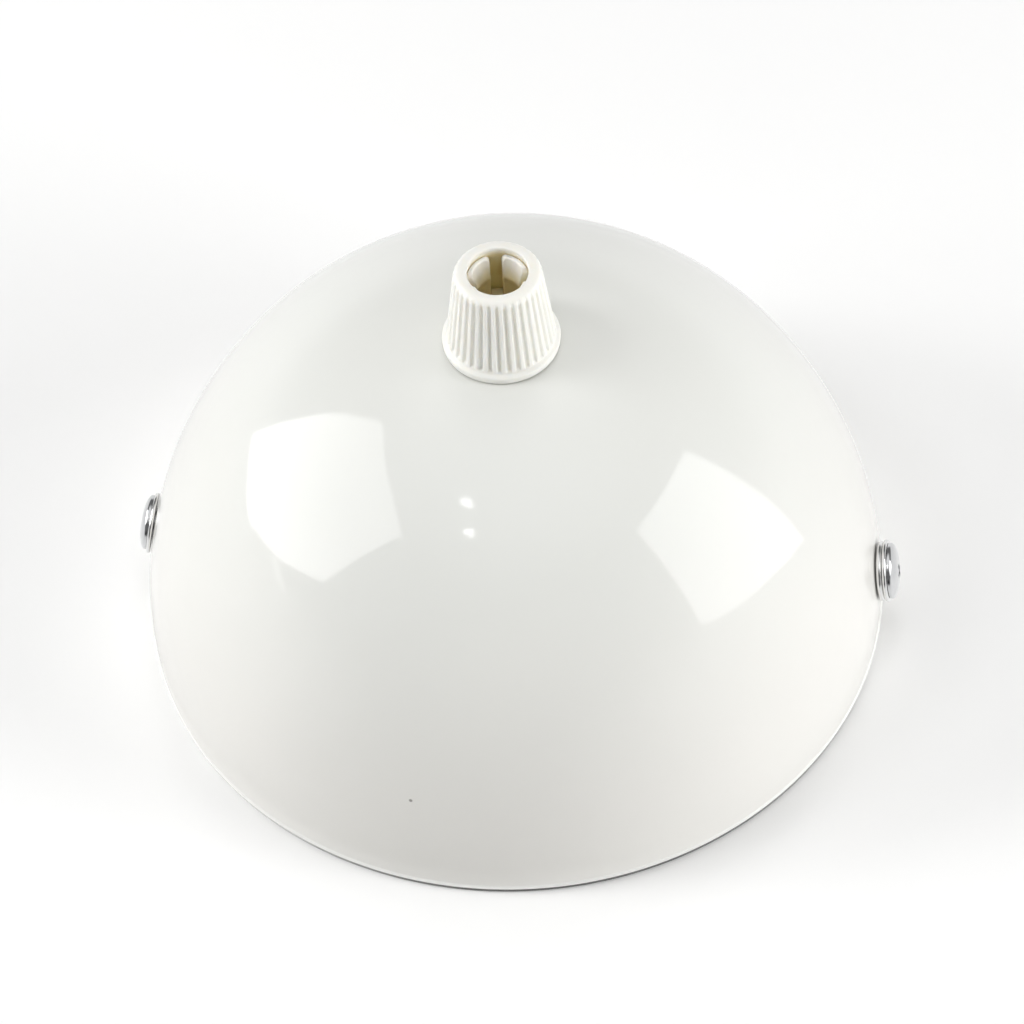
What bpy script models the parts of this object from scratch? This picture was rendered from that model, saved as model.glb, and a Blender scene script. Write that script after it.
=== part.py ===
"""Ceiling canopy of a pendant lamp, lying on its rim.

A pressed steel dome carries a ribbed plastic cord grip on its crown. Inside it a
strap bracket takes the two side screws that hold the dome to the ceiling.
+Z runs up through the cord grip, +X along the side screws, and the origin is the
centre of the rim. The bracket's back faces the ceiling, which is the rim's plane.
"""

import math

import bmesh
import bpy
from mathutils import Matrix, Vector

MM = 0.001

# Clearances between pieces
SEAT_GAP = 0.2 * MM
THREAD_GAP = 0.25 * MM
BRACKET_LIFT = 0.3 * MM

# Dome, pressed from sheet
RIM_RADIUS = 50.0 * MM
DOME_RISE = 52.0 * MM
WALL = 0.8 * MM
SEAT_MARGIN = 0.3 * MM
STEM_HOLE_CLEARANCE = 0.3 * MM
SIDE_HOLE_CLEARANCE = 0.5 * MM
SIDE_SCREW_HEIGHT = 8.6 * MM

# Cord grip's ribbed cap
CAP_HEIGHT = 13.0 * MM
CAP_FOOT_WALL = 2.1 * MM
CAP_FLANGE_REACH = 0.7 * MM
CAP_FLANGE_HEIGHT = 1.3 * MM
CAP_FLANGE_EDGE = 0.3 * MM
CAP_MOUTH_STEP = 1.05 * MM
CAP_MOUTH_RIM = 1.85 * MM
CAP_FILLET = 0.9 * MM
CAP_MOUTH_LAND = 0.5 * MM
CAP_MOUTH_EDGE = 0.25 * MM
CAP_THREAD_DEPTH = 6.6 * MM
RIB_COUNT = 36
GROOVE_DEPTH = 0.34 * MM
GROOVE_RUN_OUT = 0.5 * MM
GROOVE_FOOT = 0.12 * MM

# Hollow stem with its four clamping fingers
STEM_RADIUS = 4.9 * MM
STEM_WALL = 1.4 * MM
STEM_TAIL = 1.4 * MM
STEM_THREAD_TOP = 5.9 * MM
STEM_CHAMFER = 0.4 * MM
FINGER_ROOT = 7.0 * MM
FINGER_DROP = 1.0 * MM
FINGER_STEP = 0.4 * MM
FINGER_BACK_CLEARANCE = 0.28 * MM
FINGER_BEVEL = 0.25 * MM
SLOT_WIDTH = 1.55 * MM
SLOT_FLOOR = 4.6 * MM
SLOT_TURN = math.radians(12.0)

# Washer and locknut under the crown
STEM_WASHER_REACH = 2.7 * MM
STEM_WASHER_THICKNESS = 1.0 * MM
LOCKNUT_WALL = 2.1 * MM
LOCKNUT_HEIGHT = 3.0 * MM
LOCKNUT_CHAMFER = math.radians(30.0)

# M4 side screws and their washers
SHANK_RADIUS = 1.9 * MM
SHANK_LENGTH = 8.0 * MM
SHANK_POINT = 0.5 * MM
HEAD_RADIUS = 3.75 * MM
HEAD_EDGE = 0.3 * MM
HEAD_HEIGHT = 1.3 * MM
RECESS_SPAN = 3.6 * MM
RECESS_WIDTH = 0.8 * MM
RECESS_DEPTH = 0.9 * MM
WASHER_RADIUS = 4.2 * MM
WASHER_THICKNESS = 0.55 * MM
WASHER_HOLE_CLEARANCE = 0.25 * MM
SPACER_RADIUS = 4.05 * MM
SPACER_THICKNESS = 0.8 * MM
WASHER_EASE = 0.25

# Strap bracket, bent from strip
STRIP = 1.5 * MM
STRAP_WIDTH = 20.0 * MM
EAR_WIDTH = 12.0 * MM
EAR_CORNER = 3.0 * MM
EAR_REACH = 5.0 * MM
EAR_WALL_GAP = 1.0 * MM
BEND_RADIUS = 2.5 * MM
TAPER_LENGTH = 7.0 * MM
TAPER_END = 2.0 * MM
COLLAR_RADIUS = 3.3 * MM
COLLAR_HEIGHT = 1.4 * MM
CABLE_HOLE_RADIUS = 5.5 * MM
HOLE_TO_SLOT = 7.5 * MM
SLOT_TO_BEND = 15.0 * MM
CEILING_SLOT_WIDTH = 5.0 * MM

# Earth screw on the bracket
EARTH_TO_BEND = 9.63 * MM
EARTH_SHANK_LENGTH = 3.9 * MM
EARTH_HEAD_RADIUS = 3.6 * MM
EARTH_HEAD_HEIGHT = 2.0 * MM
EARTH_HEAD_EDGE = 1.1 * MM
EARTH_WASHER_RADIUS = 4.4 * MM
EARTH_WASHER_THICKNESS = 0.8 * MM

# Facets round a turned piece
DOME_FACETS = 64
GRIP_FACETS = 48
SMALL_FACETS = 24
RIB_POINTS = 4
OVERCUT = 1.0 * MM

# Radii and heights that follow from the sizes above
STEM_BORE_RADIUS = STEM_RADIUS - STEM_WALL
FINGER_RADIUS = STEM_BORE_RADIUS - FINGER_STEP
STEM_THREAD_HOLE = STEM_RADIUS + THREAD_GAP
CAP_FOOT_RADIUS = STEM_RADIUS + CAP_FOOT_WALL
CAP_FLANGE_RADIUS = CAP_FOOT_RADIUS + CAP_FLANGE_REACH
CAP_MOUTH_RADIUS = STEM_RADIUS - CAP_MOUTH_STEP
CAP_SHOULDER_RADIUS = CAP_MOUTH_RADIUS + CAP_MOUTH_RIM
SEAT_RADIUS = CAP_FLANGE_RADIUS + SEAT_MARGIN
SCREW_THREAD_HOLE = SHANK_RADIUS + THREAD_GAP
SEAT_HEIGHT = DOME_RISE * math.sqrt(1.0 - (SEAT_RADIUS / RIM_RADIUS) ** 2)
CAP_BASE = SEAT_HEIGHT + SEAT_GAP
CAP_TOP = CAP_BASE + CAP_HEIGHT
CROWN_UNDERSIDE = SEAT_HEIGHT - WALL
WASHER_TOP = CROWN_UNDERSIDE - SEAT_GAP
LOCKNUT_TOP = WASHER_TOP - STEM_WASHER_THICKNESS - SEAT_GAP
STEM_FOOT = LOCKNUT_TOP - LOCKNUT_HEIGHT - STEM_TAIL
FINGER_TOP = CAP_TOP - FINGER_DROP


def clear_scene():
    """Empty the file without closing it."""
    for obj in list(bpy.data.objects):
        bpy.data.objects.remove(obj, do_unlink=True)


def material(name, colour, roughness, metallic):
    """One Principled finish."""
    finish = bpy.data.materials.new(name)
    finish.use_nodes = True
    shader = finish.node_tree.nodes["Principled BSDF"]
    shader.inputs["Base Color"].default_value = (*colour, 1.0)
    shader.inputs["Roughness"].default_value = roughness
    shader.inputs["Metallic"].default_value = metallic
    return finish


def place(name, mesh, finish=None, parent=None):
    """Put a mesh into the scene as one named piece."""
    obj = bpy.data.objects.new(name, mesh)
    bpy.context.collection.objects.link(obj)
    obj.parent = parent
    if finish:
        mesh.materials.append(finish)
    return obj


def axis_empty(name, matrix):
    """An empty on a joint's axis, with its own +Z along it."""
    empty = bpy.data.objects.new(name, None)
    empty.empty_display_size = 5.0 * MM
    empty.matrix_world = matrix
    bpy.context.collection.objects.link(empty)
    return empty


def finish_mesh(name, bm, smooth_angle=35.0):
    """Weld, turn every face outwards and shade smooth between sharp edges."""
    bmesh.ops.remove_doubles(bm, verts=bm.verts, dist=1e-7)
    bmesh.ops.recalc_face_normals(bm, faces=bm.faces)
    mesh = bpy.data.meshes.new(name)
    bm.to_mesh(mesh)
    bm.free()
    mesh.shade_smooth()
    mesh.set_sharp_from_angle(angle=math.radians(smooth_angle))
    return mesh


def arc(centre, radius, start, end, steps):
    """Points (r, z) on an arc; angles in degrees from +r towards +z."""
    points = []
    for i in range(steps + 1):
        angle = math.radians(start + (end - start) * i / steps)
        points.append((centre[0] + radius * math.cos(angle), centre[1] + radius * math.sin(angle)))
    return points


def turned(name, outline, facets, closed=True):
    """Spin an (r, z) outline round Z. An open outline starts and ends on the axis."""
    bm = bmesh.new()
    verts = [bm.verts.new((r, 0.0, z)) for r, z in outline]
    pairs = list(zip(verts, verts[1:]))
    if closed:
        pairs.append((verts[-1], verts[0]))
    edges = [bm.edges.new(pair) for pair in pairs]
    bmesh.ops.spin(
        bm,
        geom=verts + edges,
        axis=(0.0, 0.0, 1.0),
        cent=(0.0, 0.0, 0.0),
        angle=math.tau,
        steps=facets,
        use_merge=True,
    )
    return finish_mesh(name, bm)


def extruded(name, outline, bottom, top):
    """Extrude an (x, y) outline from one height to another."""
    bm = bmesh.new()
    base = bm.faces.new([bm.verts.new((x, y, bottom)) for x, y in outline])
    grown = bmesh.ops.extrude_face_region(bm, geom=[base])
    moved = [item for item in grown["geom"] if isinstance(item, bmesh.types.BMVert)]
    bmesh.ops.translate(bm, verts=moved, vec=(0.0, 0.0, top - bottom))
    return finish_mesh(name, bm)


def rod(name, radius, bottom, top, facets=SMALL_FACETS):
    """A plain round bar along Z."""
    return turned(name, [(0.0, top), (radius, top), (radius, bottom), (0.0, bottom)], facets, closed=False)


def washer_mesh(name, outer, inner, bottom, thickness, facets=SMALL_FACETS):
    """A flat ring whose outer corners are eased by a share of its thickness."""
    edge = thickness * WASHER_EASE
    top = bottom + thickness
    outline = [
        (inner, top),
        (outer - edge, top),
        (outer, top - edge),
        (outer, bottom + edge),
        (outer - edge, bottom),
        (inner, bottom),
    ]
    return turned(name, outline, facets)


def slot_outline(near, far, width, steps=8):
    """A slot along X with round ends."""
    half = width / 2.0
    points = arc((far - half, 0.0), half, -90.0, 90.0, steps)
    points += arc((near + half, 0.0), half, 90.0, 270.0, steps)
    return points


def tool(name, mesh, parent=None):
    """A cutter or a blank that only shapes other pieces."""
    obj = place(name, mesh, parent=parent)
    obj.display_type = "WIRE"
    obj.hide_render = True
    return obj


def gathered(name, parts):
    """One mesh out of several, each moved by its own matrix."""
    bm = bmesh.new()
    for mesh, matrix in parts:
        moved = mesh.copy()
        moved.transform(matrix)
        bm.from_mesh(moved)
        bpy.data.meshes.remove(moved)
    return finish_mesh(name, bm)


def shape(obj, other, operation="DIFFERENCE"):
    """Shape a piece with a tool by a Boolean."""
    modifier = obj.modifiers.new(other.name, "BOOLEAN")
    modifier.object = other
    modifier.operation = operation
    modifier.solver = "EXACT"
    return modifier


def dome_point(radius, rise, angle):
    """A point of the dome's elliptic section; the angle starts at the rim."""
    return (radius * math.cos(angle), rise * math.sin(angle))


def screw_frame(side):
    """Frame on the dome's outer wall at a side screw, with +Z square to the wall."""
    lift = math.asin(SIDE_SCREW_HEIGHT / DOME_RISE)
    radius, height = dome_point(RIM_RADIUS, DOME_RISE, lift)
    out = Vector((side * radius / RIM_RADIUS**2, 0.0, height / DOME_RISE**2)).normalized()
    across = Vector((0.0, 1.0, 0.0))
    frame = Matrix((across.cross(out), across, out)).transposed().to_4x4()
    frame.translation = (side * radius, 0.0, height)
    return frame


def make_shell(finish, side_frames):
    """Dome of even wall with a flat seat on its crown, a stem hole and two screw holes."""
    steps = 15
    crown = math.acos(SEAT_RADIUS / RIM_RADIUS)
    outline = [dome_point(RIM_RADIUS, DOME_RISE, crown * (1.0 - i / steps)) for i in range(steps + 1)]
    inner_radius = RIM_RADIUS - WALL
    inner_rise = DOME_RISE - WALL
    inner_crown = math.asin(CROWN_UNDERSIDE / inner_rise)
    outline += [dome_point(inner_radius, inner_rise, inner_crown * i / steps) for i in range(steps + 1)]
    hole = STEM_RADIUS + STEM_HOLE_CLEARANCE
    outline += [(hole, CROWN_UNDERSIDE), (hole, SEAT_HEIGHT)]
    shell = place("canopy_shell", turned("canopy_shell", outline, DOME_FACETS), finish)
    drill = rod("side_hole_drill", SHANK_RADIUS + SIDE_HOLE_CLEARANCE, -WALL - OVERCUT, OVERCUT)
    for side, frame in side_frames.items():
        drill_at = tool(f"{side}_hole_drill", drill)
        drill_at.matrix_world = frame
        shape(shell, drill_at)
    return shell


def cap_levels():
    """Levels of the cap's outside from foot to mouth: radius, height, share of groove depth."""
    flange_top = CAP_BASE + CAP_FLANGE_HEIGHT
    groove_foot = flange_top + GROOVE_FOOT
    shoulder = CAP_TOP - CAP_FILLET
    taper = (CAP_SHOULDER_RADIUS - CAP_FOOT_RADIUS) / (shoulder - flange_top)

    def cone(height):
        return CAP_FOOT_RADIUS + taper * (height - flange_top)

    levels = [
        (CAP_FLANGE_RADIUS - CAP_FLANGE_EDGE / 2.0, CAP_BASE, 0.0),
        (CAP_FLANGE_RADIUS, CAP_BASE + CAP_FLANGE_EDGE / 2.0, 0.0),
        (CAP_FLANGE_RADIUS, flange_top - CAP_FLANGE_EDGE, 0.0),
        (CAP_FLANGE_RADIUS - CAP_FLANGE_EDGE, flange_top, 0.0),
        (cone(groove_foot), groove_foot, 0.0),
    ]
    run_top = CAP_TOP - CAP_FILLET - GROOVE_RUN_OUT
    stations = [
        (groove_foot + 0.5 * GROOVE_DEPTH, 0.85),
        (groove_foot + GROOVE_DEPTH, 1.0),
        (run_top, 1.0),
        (shoulder, 0.4),
    ]
    levels += [(cone(height), height, share) for height, share in stations]
    centre = (CAP_SHOULDER_RADIUS - CAP_FILLET, shoulder)
    levels += [(r, z, 0.0) for r, z in arc(centre, CAP_FILLET, 30.0, 90.0, 3)]
    return levels


def make_cap(finish, turn_axis):
    """Conical cap: a loft through ribbed rings, with a turned bore cut out of it."""
    count = RIB_COUNT * RIB_POINTS
    bm = bmesh.new()
    rings = []
    for radius, height, share in cap_levels():
        ring = []
        for i in range(count):
            angle = math.tau * i / count
            wave = 1.0 if i % RIB_POINTS < RIB_POINTS // 2 else 0.0
            reach = radius - GROOVE_DEPTH * share * wave
            ring.append(bm.verts.new((reach * math.cos(angle), reach * math.sin(angle), height)))
        rings.append(ring)
    for lower, upper in zip(rings, rings[1:]):
        for i in range(count):
            j = (i + 1) % count
            bm.faces.new((lower[i], lower[j], upper[j], upper[i]))
    bm.faces.new(rings[0])
    bm.faces.new(rings[-1])
    cap = place("grip_cap", finish_mesh("grip_cap", bm), finish, turn_axis)

    thread_top = CAP_BASE + CAP_THREAD_DEPTH
    land = CAP_TOP - CAP_MOUTH_LAND
    bore = [
        (0.0, CAP_TOP + OVERCUT),
        (CAP_MOUTH_RADIUS + CAP_MOUTH_EDGE, CAP_TOP + OVERCUT),
        (CAP_MOUTH_RADIUS + CAP_MOUTH_EDGE, CAP_TOP),
        (CAP_MOUTH_RADIUS, CAP_TOP - CAP_MOUTH_EDGE),
        (CAP_MOUTH_RADIUS, land),
        (STEM_THREAD_HOLE, thread_top),
        (STEM_THREAD_HOLE, CAP_BASE - OVERCUT),
        (0.0, CAP_BASE - OVERCUT),
    ]
    shape(cap, tool("cap_bore", turned("cap_bore", bore, GRIP_FACETS, closed=False), turn_axis))
    return cap


def cap_bore_radius(height):
    """Radius of the cap's inner cone at a height."""
    low = (CAP_BASE + CAP_THREAD_DEPTH, STEM_THREAD_HOLE)
    high = (CAP_TOP - CAP_MOUTH_LAND, CAP_MOUTH_RADIUS)
    share = (height - low[0]) / (high[0] - low[0])
    return low[1] + share * (high[1] - low[1])


def make_stem(finish):
    """Threaded tube whose top is slit into four fingers that the cap squeezes."""
    thread_top = CAP_BASE + STEM_THREAD_TOP
    root = CAP_BASE + FINGER_ROOT
    tip_back = cap_bore_radius(FINGER_TOP) - FINGER_BACK_CLEARANCE
    root_back = cap_bore_radius(root) - FINGER_BACK_CLEARANCE
    neck = min(root_back, STEM_RADIUS) - STEM_CHAMFER
    outline = [
        (FINGER_RADIUS + FINGER_BEVEL, FINGER_TOP),
        (tip_back - FINGER_BEVEL / 2.0, FINGER_TOP),
        (tip_back, FINGER_TOP - FINGER_BEVEL / 2.0),
        (neck, root),
        (neck, thread_top + STEM_CHAMFER),
        (STEM_RADIUS, thread_top),
        (STEM_RADIUS, STEM_FOOT + STEM_CHAMFER),
        (STEM_RADIUS - STEM_CHAMFER, STEM_FOOT),
        (STEM_BORE_RADIUS, STEM_FOOT),
        (STEM_BORE_RADIUS, root - STEM_CHAMFER),
        (FINGER_RADIUS, root),
        (FINGER_RADIUS, FINGER_TOP - FINGER_BEVEL),
    ]
    stem = place("grip_stem", turned("grip_stem", outline, GRIP_FACETS), finish)
    half = SLOT_WIDTH / 2.0
    reach = STEM_RADIUS + OVERCUT
    saw = extruded(
        "finger_saw",
        [(-reach, -half), (reach, -half), (reach, half), (-reach, half)],
        CAP_BASE + SLOT_FLOOR,
        FINGER_TOP + OVERCUT,
    )
    for i in range(2):
        cut = tool(f"finger_saw_{i + 1}", saw)
        cut.rotation_euler.z = SLOT_TURN + i * math.pi / 2.0
        shape(stem, cut)
    return stem


def make_locknut(finish):
    """Hexagon nut whose corners are turned off on both faces."""
    bottom = LOCKNUT_TOP - LOCKNUT_HEIGHT
    half_flats = STEM_RADIUS + LOCKNUT_WALL
    corner = half_flats / math.cos(math.pi / 6.0)
    blank = [(corner * math.cos(math.tau * i / 6), corner * math.sin(math.tau * i / 6)) for i in range(6)]
    nut = place("stem_locknut", extruded("stem_locknut", blank, bottom, LOCKNUT_TOP), finish)
    rim = corner + OVERCUT
    rise = (rim - half_flats) * math.tan(LOCKNUT_CHAMFER)
    form = [
        (STEM_THREAD_HOLE, LOCKNUT_TOP + OVERCUT),
        (half_flats, LOCKNUT_TOP + OVERCUT),
        (half_flats, LOCKNUT_TOP),
        (rim, LOCKNUT_TOP - rise),
        (rim, bottom + rise),
        (half_flats, bottom),
        (half_flats, bottom - OVERCUT),
        (STEM_THREAD_HOLE, bottom - OVERCUT),
    ]
    shape(nut, tool("locknut_form", turned("locknut_form", form, GRIP_FACETS)), "INTERSECT")
    return nut


def cross_outline(span, width):
    """Plan of a cross recess, as a driver's tip leaves it."""
    a = span / 2.0
    b = width / 2.0
    quarter = [(a, -b), (a, b), (b, b)]
    points = []
    for turn in range(4):
        spin = Matrix.Rotation(turn * math.pi / 2.0, 2)
        points += [tuple(spin @ Vector(point)) for point in quarter]
    return points


def screw_outline(head_radius, head_edge, head_height, shank_length, under_head):
    """Half section of a low domed screw; the dome is one arc from edge to apex."""
    dome = head_height - head_edge
    curve = (head_radius**2 + dome**2) / (2.0 * dome)
    centre = (0.0, under_head + head_height - curve)
    sweep = math.degrees(math.asin(head_radius / curve))
    outline = arc(centre, curve, 90.0, 90.0 - sweep, 5)
    outline[0] = (0.0, under_head + head_height)
    tip = under_head - shank_length
    outline += [
        (head_radius, under_head),
        (SHANK_RADIUS, under_head),
        (SHANK_RADIUS, tip + SHANK_POINT),
        (SHANK_RADIUS - SHANK_POINT, tip),
        (0.0, tip),
    ]
    return outline


def make_screw(name, sizes, under_head, finish, turn_axis):
    """Turned screw with a cross recess cut into its dome."""
    head_radius, head_edge, head_height, shank_length = sizes
    outline = screw_outline(head_radius, head_edge, head_height, shank_length, under_head)
    screw = place(name, turned(name, outline, SMALL_FACETS, closed=False), finish, turn_axis)
    top = under_head + head_height
    cross = cross_outline(RECESS_SPAN, RECESS_WIDTH)
    driver = extruded(f"{name}_driver", cross, top - RECESS_DEPTH, top + OVERCUT)
    shape(screw, tool(f"{name}_driver", driver, turn_axis))
    return screw


def make_side_fixing(side, frame, stack, finishes):
    """Side screw and the rings under its head, all on one axis square to the wall."""
    axis = axis_empty(f"{side}_screw_axis", frame)
    hole = SHANK_RADIUS + WASHER_HOLE_CLEARANCE
    level = SEAT_GAP
    for name, radius, thickness in stack:
        place(name, washer_mesh(name, radius, hole, level, thickness), finishes["washer"], axis)
        level += thickness + SEAT_GAP
    sizes = (HEAD_RADIUS, HEAD_EDGE, HEAD_HEIGHT, SHANK_LENGTH)
    make_screw(f"{side}_screw", sizes, level, finishes["screw"], axis)


def ear_line():
    """Middle of the right ear at its screw and the direction up the ear, in X and Z."""
    frame = screw_frame(1)
    out = Vector((frame.col[2].x, frame.col[2].z))
    wall = Vector((frame.translation.x, frame.translation.z))
    ear_mid = wall - out * (WALL + EAR_WALL_GAP + STRIP / 2.0)
    return ear_mid, Vector((-out.y, out.x))


def bend_start():
    """Where the strap's flat ends and its right bend starts, along X."""
    ear_mid, up = ear_line()
    floor = BRACKET_LIFT + STRIP / 2.0
    corner = ear_mid.x + up.x * (floor - ear_mid.y) / up.y
    return corner - (BEND_RADIUS + STRIP / 2.0) * math.tan(math.atan2(up.y, up.x) / 2.0)


def strap_path():
    """Middle line of the right half of the strap in X and Z, with its half width at each point."""
    ear_mid, up = ear_line()
    floor = BRACKET_LIFT + STRIP / 2.0
    bend = BEND_RADIUS + STRIP / 2.0
    centre = (bend_start(), floor + bend)
    sweep = math.degrees(math.atan2(up.y, up.x))
    half_strap = STRAP_WIDTH / 2.0
    half_ear = EAR_WIDTH / 2.0
    path = [
        (0.0, floor, half_strap),
        (centre[0] - TAPER_END - TAPER_LENGTH, floor, half_strap),
        (centre[0] - TAPER_END, floor, half_ear),
    ]
    path += [(x, z, half_ear) for x, z in arc(centre, bend, -90.0, -90.0 + sweep, 6)]
    for i in range(6):
        angle = math.pi / 2.0 * i / 5.0
        along = EAR_REACH - EAR_CORNER + EAR_CORNER * math.sin(angle)
        point = ear_mid + up * along
        path.append((point.x, point.y, half_ear - EAR_CORNER + EAR_CORNER * math.cos(angle)))
    return path


def make_bracket(finish, side_frames):
    """Bent strap: folded strip, thread collars raised on it, then every hole cut."""
    right = strap_path()
    path = [(-x, z, half) for x, z, half in reversed(right[1:])] + right
    bm = bmesh.new()
    rows = [(bm.verts.new((x, -half, z)), bm.verts.new((x, half, z))) for x, z, half in path]
    for a, b in zip(rows, rows[1:]):
        bm.faces.new((a[0], b[0], b[1], a[1]))
    strap = place("mounting_bracket", finish_mesh("mounting_bracket", bm), finish)
    fold = strap.modifiers.new("strip", "SOLIDIFY")
    fold.thickness = STRIP
    fold.offset = 0.0
    fold.use_even_offset = True

    inner_face = -WALL - EAR_WALL_GAP - STRIP
    collar_end = inner_face - COLLAR_HEIGHT
    root = STRIP / 2.0
    top = BRACKET_LIFT + STRIP
    below = BRACKET_LIFT - OVERCUT
    collar = rod("collar", COLLAR_RADIUS, collar_end, inner_face + root)
    drill = rod("drill", SCREW_THREAD_HOLE, collar_end - OVERCUT, inner_face + STRIP + OVERCUT)
    earth_collar = rod("earth_collar", COLLAR_RADIUS, top - root, top + COLLAR_HEIGHT)
    earth_drill = rod("earth_drill", SCREW_THREAD_HOLE, below, top + COLLAR_HEIGHT + OVERCUT)
    cable_hole = rod("cable_hole", CABLE_HOLE_RADIUS, below, top + OVERCUT)
    near = CABLE_HOLE_RADIUS + HOLE_TO_SLOT
    plan = slot_outline(near, bend_start() - SLOT_TO_BEND, CEILING_SLOT_WIDTH)
    slot = extruded("ceiling_slot", plan, below, top + OVERCUT)
    here = Matrix.Identity(4)
    earth = Matrix.Translation((EARTH_TO_BEND - bend_start(), 0.0, 0.0))
    turned_over = Matrix.Rotation(math.pi, 4, "Z")
    collars = [(collar, frame) for frame in side_frames.values()] + [(earth_collar, earth)]
    holes = [(drill, frame) for frame in side_frames.values()]
    holes += [(earth_drill, earth), (cable_hole, here), (slot, here), (slot, turned_over)]
    shape(strap, tool("bracket_collars", gathered("bracket_collars", collars)), "UNION")
    shape(strap, tool("bracket_holes", gathered("bracket_holes", holes)))
    return strap


def make_earth_terminal(finishes):
    """Screw and washer that clamp the earth wire on the bracket's raised collar."""
    collar_top = BRACKET_LIFT + STRIP + COLLAR_HEIGHT
    place_x = EARTH_TO_BEND - bend_start()
    axis = axis_empty("earth_screw_axis", Matrix.Translation((place_x, 0.0, collar_top)))
    level = SEAT_GAP
    hole = SHANK_RADIUS + WASHER_HOLE_CLEARANCE
    mesh = washer_mesh("earth_washer", EARTH_WASHER_RADIUS, hole, level, EARTH_WASHER_THICKNESS)
    place("earth_washer", mesh, finishes["earth"], axis)
    level += EARTH_WASHER_THICKNESS + SEAT_GAP
    sizes = (EARTH_HEAD_RADIUS, EARTH_HEAD_EDGE, EARTH_HEAD_HEIGHT, EARTH_SHANK_LENGTH)
    make_screw("earth_screw", sizes, level, finishes["earth"], axis)


def build():
    """Make every piece of the canopy."""
    clear_scene()
    paint = material("white_enamel", (0.86, 0.86, 0.84), 0.12, 0.0)
    plastic = material("ivory_plastic", (0.88, 0.85, 0.78), 0.42, 0.0)
    zinc = material("zinc_plate", (0.62, 0.63, 0.64), 0.38, 1.0)
    finishes = {
        "screw": material("chrome_plate", (0.80, 0.81, 0.82), 0.08, 1.0),
        "washer": material("nickel_plate", (0.74, 0.74, 0.73), 0.12, 1.0),
        "earth": material("yellow_brass", (0.72, 0.56, 0.25), 0.25, 1.0),
    }
    side_frames = {"left": screw_frame(-1), "right": screw_frame(1)}

    make_shell(paint, side_frames)
    cap_axis = axis_empty("cap_turn_axis", Matrix.Identity(4))
    make_cap(plastic, cap_axis)
    make_stem(plastic)
    mesh = washer_mesh(
        "stem_washer",
        STEM_RADIUS + STEM_WASHER_REACH,
        STEM_THREAD_HOLE,
        WASHER_TOP - STEM_WASHER_THICKNESS,
        STEM_WASHER_THICKNESS,
        GRIP_FACETS,
    )
    place("stem_washer", mesh, zinc)
    make_locknut(zinc)

    single = ("washer", WASHER_RADIUS, WASHER_THICKNESS)
    spacer = ("spacer_washer", SPACER_RADIUS, SPACER_THICKNESS)
    stacks = {"left": [single], "right": [spacer, single]}
    for side, frame in side_frames.items():
        stack = [(f"{side}_{name}", radius, thickness) for name, radius, thickness in stacks[side]]
        make_side_fixing(side, frame, stack, finishes)

    make_bracket(zinc, side_frames)
    make_earth_terminal(finishes)


build()
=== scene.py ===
import math

import bmesh
import bpy
import numpy as np
from mathutils import Matrix, Vector


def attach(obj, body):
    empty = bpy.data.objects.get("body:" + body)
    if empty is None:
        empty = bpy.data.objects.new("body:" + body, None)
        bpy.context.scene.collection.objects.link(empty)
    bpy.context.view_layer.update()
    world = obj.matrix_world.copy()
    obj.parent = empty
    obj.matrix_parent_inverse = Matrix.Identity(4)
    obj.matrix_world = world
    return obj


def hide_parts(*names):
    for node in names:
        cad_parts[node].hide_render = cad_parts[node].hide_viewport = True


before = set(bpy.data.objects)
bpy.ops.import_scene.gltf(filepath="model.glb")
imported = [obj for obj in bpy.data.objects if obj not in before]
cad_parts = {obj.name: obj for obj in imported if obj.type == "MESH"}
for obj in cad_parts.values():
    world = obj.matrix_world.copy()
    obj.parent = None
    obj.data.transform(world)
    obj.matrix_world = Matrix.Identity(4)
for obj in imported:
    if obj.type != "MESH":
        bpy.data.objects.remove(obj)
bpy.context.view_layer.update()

MM = 0.001


# What the enamel mirrors. The canopy lies between two softboxes, with two small lamps above its front. All of them are
# cards that only a polished surface sees; the left softbox has a glint of its stand and its pole below it.
MIRROR_CENTRE = Vector((0.0, 0.0, 0.03))
LAMP_GLOW = 9.0


def add(name, data):
    """Puts a new object into the scene."""
    thing = bpy.data.objects.new(name, data)
    bpy.context.collection.objects.link(thing)
    return thing


def glowing(name, mesh):
    """Gives a mesh a glowing material; returns its node tree and the light in it."""
    glow = bpy.data.materials.new(name)
    glow.use_nodes = True
    tree = glow.node_tree
    tree.nodes.clear()
    light = tree.nodes.new("ShaderNodeEmission")
    out = tree.nodes.new("ShaderNodeOutputMaterial")
    tree.links.new(light.outputs["Emission"], out.inputs["Surface"])
    mesh.materials.append(glow)
    return tree, light


def only_in_gloss(thing):
    """Leaves a thing to be seen in mirror images alone."""
    thing.visible_camera = False
    thing.visible_diffuse = False
    thing.visible_shadow = False
    thing.visible_transmission = False


def own_place(tree):
    """Where a point lies on the thing itself."""
    return tree.nodes.new("ShaderNodeTexCoord").outputs["Object"]


def vector(tree, operation, first, second=None):
    """One step of vector arithmetic on a node's output; the second vector, if there is one, is fixed."""
    node = tree.nodes.new("ShaderNodeVectorMath")
    node.operation = operation
    tree.links.new(first, node.inputs[0])
    if second is not None:
        node.inputs[1].default_value = second
    return node.outputs["Vector" if operation in ("MULTIPLY", "NORMALIZE") else "Value"]


def spread(tree, value, start, end, low=0.0, high=1.0, soft=False):
    """Goes from low to high as a value goes from start to end, evenly or with soft ends."""
    node = tree.nodes.new("ShaderNodeMapRange")
    if soft:
        node.interpolation_type = "SMOOTHSTEP"
    node.inputs["From Min"].default_value = start
    node.inputs["From Max"].default_value = end
    node.inputs["To Min"].default_value = low
    node.inputs["To Max"].default_value = high
    tree.links.new(value, node.inputs["Value"])
    return node.outputs["Result"]


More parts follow.
